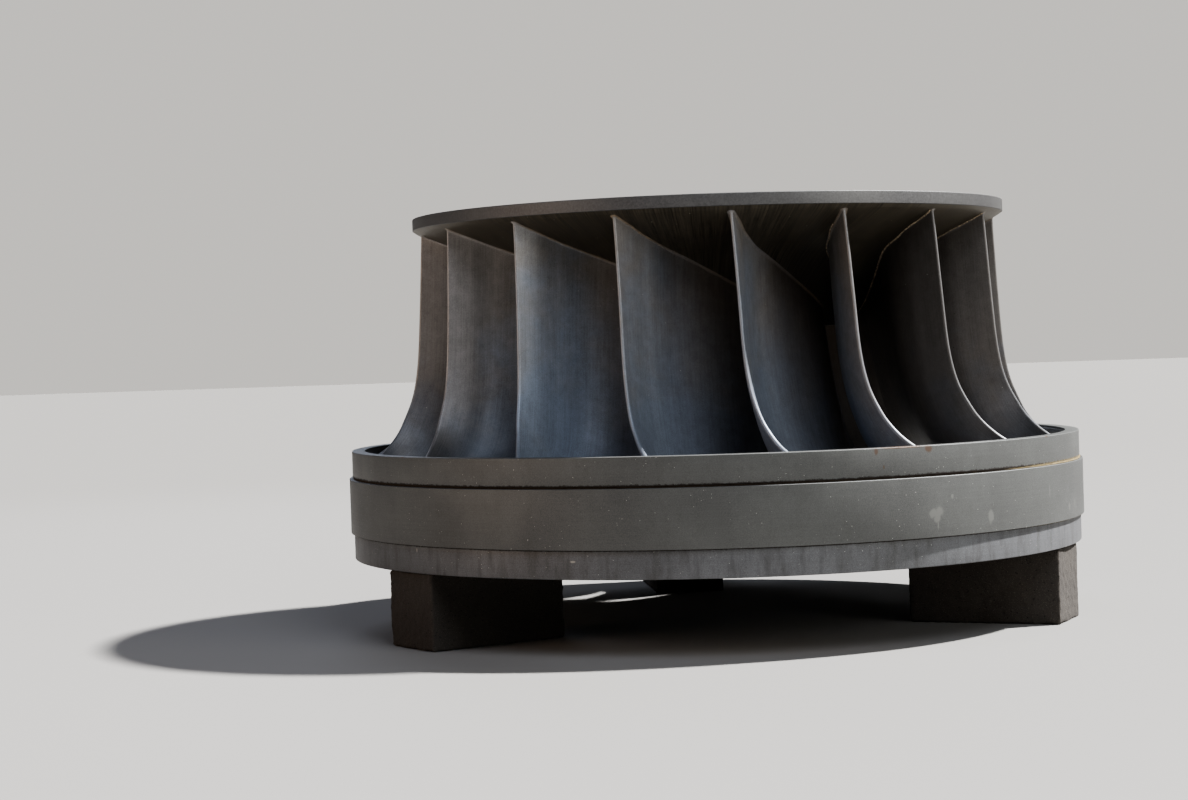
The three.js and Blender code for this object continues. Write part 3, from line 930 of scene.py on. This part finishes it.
blade_tree = build_blade_tree()
blade_steel = ground_blade()
for number in range(BLADES):
    blade = made_by(
        blade_tree,
        f"runner_blade_{number + 1:02d}",
        {
            "Number": number,
            "Blades": BLADES,
            "Oxide And Shade": BLADE_OXIDE_AND_SHADE[number],
            "Foot Grime": FOOT_GRIME[number],
            "Finish": blade_steel,
        },
        source=blade_mesh,
    )
    face_outwards(blade, sharp_degrees=60)
    finish_piece(blade, "blade_steel", f"blade_{number + 1:02d}")


# Weld beads. Where the grinder could not reach, beads of the crown weld stand 6 to 10 mm wide on
# three blades' fillets. They are stainless weld metal, brown with heat tint, and lumpy.
BEAD_LUMPS_MM = 7
# For each blade's number: the first and last place round the section, and the bead's radius
LEFT_BEADS = {1: (18, 37, 3), 2: (5, 55, 5), 3: (5, 34, 3.5)}


def weld_bead_steel():
    """Unground weld: dark scale on the ripples' sides, tan on their tops, 8 to 15 mm apart."""
    material, shader, add, place = start_material("weld_bead_steel")
    ripples = add("TexNoise", {"Vector": place, "Scale": 85, "Detail": 4, "Roughness": 0.7})
    tone = coated(add, "#33291f", (add("MapRange", [ripples, 0.38, 0.62]), "#cdb89a"))
    bump = add("Bump", {"Height": ripples, "Strength": 0.8, "Distance": 0.003})
    set_inputs(shader, {"Base Color": tone, "Roughness": 0.6, "Normal": bump, "Metallic": 0.2})
    return material


def build_bead_tree():
    """Runs a round bead along a chain of edges, and pushes its skin about in lumps."""
    add, given, end = new_tree("weld_bead", {"Radius": "Float", "Lumps": "Float", "Seed": "Float"})
    path = add("GeometryNodeMeshToCurve", {"Mesh": given["Geometry"]})
    even = add("GeometryNodeResampleCurve", {"Curve": path, "Length": 0.004}, mode="LENGTH")
    section = add("GeometryNodeCurvePrimitiveCircle", {"Resolution": 10, "Radius": given["Radius"]})
    sweep = {"Curve": even, "Profile Curve": section, "Fill Caps": True}
    tube = add("GeometryNodeCurveToMesh", sweep)
    lumps = {"W": given["Seed"], "Scale": 45, "Detail": 3}
    lump = add("TexNoise", lumps, noise_dimensions="4D").outputs["Color"]
    either_way = add("VectorMath", [lump, (0.5, 0.5, 0.5)], operation="SUBTRACT")
    push = add("VectorMath", {0: either_way, "Scale": given["Lumps"]}, operation="SCALE")
    lumpy = add("GeometryNodeSetPosition", {"Geometry": tube, "Offset": push})
    return end_tree(add, given, end, lumpy)


bead_tree = build_bead_tree()
bead_steel = weld_bead_steel()
for number, (first, last, radius) in LEFT_BEADS.items():
    turned_by = Matrix.Rotation(math.tau * number / BLADES, 3, "Z")
    path = []
    for i in range(first, last + 1):
        wander = 0.5 + 0.5 * math.sin(i * 0.4)
        point = crown_rows[2][i] * (1 - wander) + crown_rows[4][i] * wander
        path.append(turned_by @ Vector(point / 1000 + [0, 0, RUNNER_BASE]))
    chain = bpy.data.meshes.new("bead_path")
    chain.from_pydata(path, [(i, i + 1) for i in range(len(path) - 1)], [])
    bead = made_by(
        bead_tree,
        f"weld_bead_{number + 1:02d}",
        {
            "Radius": radius / 1000,
            "Lumps": BEAD_LUMPS_MM / 1000,
            "Seed": float(number),
            "Finish": bead_steel,
        },
        source=chain,
    )
    face_outwards(bead, sharp_degrees=180)
    finish_piece(bead, "blade_steel")


# Seal ring. A wear ring of carbon steel, turned and shrunk onto the band under its lip, 19 mm proud
# of it. The lathe's lines show on it, with pale scuffs where it was handled.
SEAL_RING_RADIUS_MM = 2200
SEAL_RING_BOTTOM_MM = 154
SEAL_RING_TOP_MM = 476
RING_GAP_MM = 0.3
# Pale scuffs where it was handled, given as the band's rust spots are
PALE_SCUFFS = [
    (31.55, 282, 60, 52),
    (32.45, 289, 54, 54),
    (32.05, 258, 48, 60),
    (32.2, 222, 10, 50),
    (42.1, 236, 44, 80),
    (34.8, 366, 18, 28),
    (57.5, 330, 12, 70),
    (65.5, 229, 30, 50),
    (68.7, 238, 24, 70),
]
ring_inner = BAND_SEAT_RADIUS_MM + RING_GAP_MM
seal_ring = turned(
    "seal_ring",
    [
        (ring_inner, SEAL_RING_BOTTOM_MM + RING_GAP_MM, 0),
        (SEAL_RING_RADIUS_MM, SEAL_RING_BOTTOM_MM + RING_GAP_MM, 4),
        (SEAL_RING_RADIUS_MM, SEAL_RING_TOP_MM, 4.5),
        (ring_inner, SEAL_RING_TOP_MM, 0),
    ],
    machined_ring(
        "machined_seal_steel",
        "#3c3c3b",
        "#5a5b59",
        PALE_SCUFFS,
        SEAL_RING_RADIUS_MM,
        "#60605d",
        (SEAL_RING_BOTTOM_MM, 2),
        dirt=0.08,
    ),
)
finish_piece(seal_ring, "ring_steel", "band_seal_ring")


# Lower ring. The second ring of carbon steel on the band's seat, shrunk on below the seal ring and
# turned flush with the lip. Pale mud has splashed on it, placed here as the seal ring's scuffs are.
MUD_SPLASHES = [(-48.9, 130, 12, 24), (-20, 96, 30, 12)]
lower_ring = turned(
    "lower_ring",
    [
        (ring_inner, 0, 0),
        (BAND_LIP_RADIUS_MM, 0, 5),
        (BAND_LIP_RADIUS_MM, SEAL_RING_BOTTOM_MM, 2),
        (ring_inner, SEAL_RING_BOTTOM_MM, 0),
    ],
    machined_ring(
        "machined_lower_steel",
        "#3e3e3e",
        "#66676a",
        MUD_SPLASHES,
        BAND_LIP_RADIUS_MM,
        "#85827b",
        (SEAL_RING_BOTTOM_MM, 5),
        dirt=0.6,
    ),
)
finish_piece(lower_ring, "ring_steel", "band_lower_ring")


# Rust packing. Scale and grit have filled the open joint under the lip. It is dark brown in most
# places, partly painted shade, and ochre on the +X side, partly dry rust and partly painted
# sunlight. It is a rough bead, pressed in with nothing holding it.
PACKING_LUMPS_MM = 3
PACKING_BULGE_MM = 11
PACKING_BULGE_FROM = 1.3
PACKING_BULGE_OVER = 0.7
PACKING_PLAY_MM = 0.2
PACKING_BACK_MM = BAND_LIP_RADIUS_MM - 15
PACKING_FACE_MM = BAND_LIP_RADIUS_MM - 8


def crumble_packing(bead):
    """Pushes the bead's skin in and out in lumps 20 to 60 mm long. It bulges on the +X side."""
    skin_radius = (PACKING_FACE_MM - 2) / 1000
    for vertex in bead.data.vertices:
        x, y, z = vertex.co
        radius = math.hypot(x, y)
        if radius > skin_radius:
            lump = noise.fractal(Vector((x * 24, y * 24, z * 160)), 0.9, 2.1, 4) * PACKING_LUMPS_MM
            lump += PACKING_BULGE_MM * min(max((x - PACKING_BULGE_FROM) / PACKING_BULGE_OVER, 0), 1)
            push = 1 + lump / 1000 / radius
            vertex.co = (x * push, y * push, z)


def rust_scale():
    """Loose rust: no shine, lumps of 3 to 8 mm, from near black brown to ochre. The ochre on the +X
    side is partly dry rust and partly painted sunlight, and the near black brown is partly painted
    shade.
    """
    material, shader, add, place = start_material("rust_scale")
    lumps = add("TexNoise", {"Vector": place, "Scale": 140, "Detail": 5, "Roughness": 0.7})
    patch = add("TexNoise", {"Vector": place, "Scale": 9, "Detail": 4})
    aside = add("Math", [patch, add("SeparateXYZ", [place]).outputs["X"]])
    # Ochre towards +X: partly dry rust, partly painted sunlight
    dry_and_sunlit = add("MapRange", [aside, 2.0, 2.35, 0, 1])
    tone = coated(add, "#191511", (lumps, "#42372c"), (dry_and_sunlit, "#6f6141"))
    bump = add("Bump", {"Height": lumps, "Strength": 0.9, "Distance": 0.003})
    set_inputs(shader, {"Base Color": tone, "Roughness": 0.95, "Normal": bump})
    return material


low = SEAL_RING_TOP_MM + PACKING_PLAY_MM
under_lip = BAND_LIP_UNDERSIDE_MM - PACKING_PLAY_MM
high = under_lip + BAND_LIP_REBATE_MM
rebate = BAND_LIP_RADIUS_MM - BAND_REBATE_DEPTH_MM + PACKING_PLAY_MM
packing = turned(
    "rust_packing",
    [
        (PACKING_BACK_MM, low, 0),
        (PACKING_FACE_MM - 1, low, 0),
        (PACKING_FACE_MM + 1, SEAL_RING_TOP_MM + 3, 1),
        (PACKING_FACE_MM, BAND_LIP_UNDERSIDE_MM, 1),
        (PACKING_FACE_MM, BAND_LIP_UNDERSIDE_MM + 3, 1),
        (PACKING_FACE_MM - 1, high, 0),
        (rebate, high, 0),
        (rebate, under_lip, 0),
        (PACKING_BACK_MM, under_lip, 0),
    ],
    rust_scale(),
    steps=1400,
)
crumble_packing(packing)
finish_piece(packing, "ring_steel")


# Stone blocks. Three sawn blocks of dark basalt carry the band. The faces are lightly hammered,
# the edges are chipped, and pores show as black pits.
BLOCK_SIZE = (0.88, 0.45, 0.43)
BLOCK_OUTER_END = 2.16
# In degrees from +X towards +Y
BLOCK_AZIMUTHS = (98, 218, 338)
BLOCK_CELL_MM = 11
BLOCK_EDGE_MM = 12


def basalt():
    """Hammered basalt: near black brown with pale crystals of 2 to 4 mm and open pores."""
    material, shader, add, place = start_material("hammered_basalt")
    cloud = add("TexNoise", {"Vector": place, "Scale": 4, "Detail": 5})
    grit = add("TexNoise", {"Vector": place, "Scale": 170, "Detail": 4, "Roughness": 0.75})
    pale = add("MapRange", [grit, 0.55, 0.75, 0, 0.8])
    cell = add("TexVoronoi", {"Vector": place, "Scale": 42})
    pit = add("MapRange", [cell, 0.1, 0.22, 1, 0])
    tone = coated(add, "#231f1b", (cloud, "#39332d"), (pale, "#625c54"), (pit, "#15110d"))
    height = add("Math", [grit, pit], operation="SUBTRACT")
    bump = add("Bump", {"Height": height, "Strength": 0.7, "Distance": 0.003})
    set_inputs(shader, {"Base Color": tone, "Roughness": 0.92, "Normal": bump})
    return material


def build_block_tree():
    """A block that stands on z = 0: rounded and chipped edges, and sides hammered inwards."""
    inputs = {"Size": "Vector", "Cell": "Float", "Edge": "Float", "Seed": "Float"}
    add, given, end = new_tree("hammered_block", inputs)
    place, size = add("GeometryNodeInputPosition"), given["Size"]
    per_cell = add("Math", [1.0, given["Cell"]], operation="DIVIDE")
    cells = add("VectorMath", {0: size, "Scale": per_cell}, operation="SCALE")
    counts = add("SeparateXYZ", [cells]).outputs
    sides = {"Vertices " + axis: counts[axis] for axis in "XYZ"}
    cube = add("GeometryNodeMeshCube", {"Size": size, **sides})
    half = add("VectorMath", {0: size, "Scale": 0.5}, operation="SCALE")
    at = {"Vector": place, "W": given["Seed"]}
    chipped = {**at, "Scale": 7, "Detail": 4, "Roughness": 0.7}
    chips = add("TexNoise", chipped, noise_dimensions="4D")
    chip_depth = add("MapRange", [chips, 0.42, 0.75, 0.5, 3.0])
    radius = add("Math", [chip_depth, given["Edge"]], operation="MULTIPLY")
    # The part of each vertex's place that lies beyond the core, drawn in to the edge's radius
    core = add("VectorMath", [half, radius], operation="SUBTRACT")
    size_of = add("VectorMath", [place], operation="ABSOLUTE")
    beyond = add("VectorMath", [size_of, core], operation="SUBTRACT")
    outside = add("VectorMath", [beyond, (0, 0, 0)], operation="MAXIMUM")
    direction = add("VectorMath", [outside], operation="NORMALIZE")
    struck = {**at, "Scale": 30, "Detail": 3}
    hammered = add("TexNoise", struck, noise_dimensions="4D")
    dent = add("MapRange", [hammered, 0.4, 0.8, 0.0, 0.006])
    depth = add("Math", [radius, dent], operation="SUBTRACT")
    rim = add("VectorMath", {0: direction, "Scale": depth}, operation="SCALE")
    inner = add("VectorMath", [size_of, core], operation="MINIMUM")
    folded = add("VectorMath", [inner, rim])
    sign = add("VectorMath", [place], operation="SIGN")
    final = add("VectorMath", [folded, sign], operation="MULTIPLY")
    shaped = add("GeometryNodeSetPosition", {"Geometry": cube, "Position": final})
    lift = add("VectorMath", [half, (0, 0, 1)], operation="MULTIPLY")
    raised = add("GeometryNodeTransform", {"Geometry": shaped, "Translation": lift})
    return end_tree(add, given, end, raised)


block_tree = build_block_tree()
block_stone = basalt()
for number, azimuth in enumerate(BLOCK_AZIMUTHS, start=1):
    block = made_by(
        block_tree,
        f"basalt_block_{number}",
        {
            "Size": BLOCK_SIZE,
            "Cell": BLOCK_CELL_MM / 1000,
            "Edge": BLOCK_EDGE_MM / 1000,
            "Seed": float(number),
            "Finish": block_stone,
        },
    )
    turn = math.radians(azimuth)
    reach = BLOCK_OUTER_END - BLOCK_SIZE[0] / 2
    middle_place = Matrix.Translation((reach * math.cos(turn), reach * math.sin(turn), 0))
    block.data.transform(middle_place @ Matrix.Rotation(turn, 4, "Z"))
    face_outwards(block, sharp_degrees=50)
    finish_piece(block, "block_stone", f"stone_block_{number}")
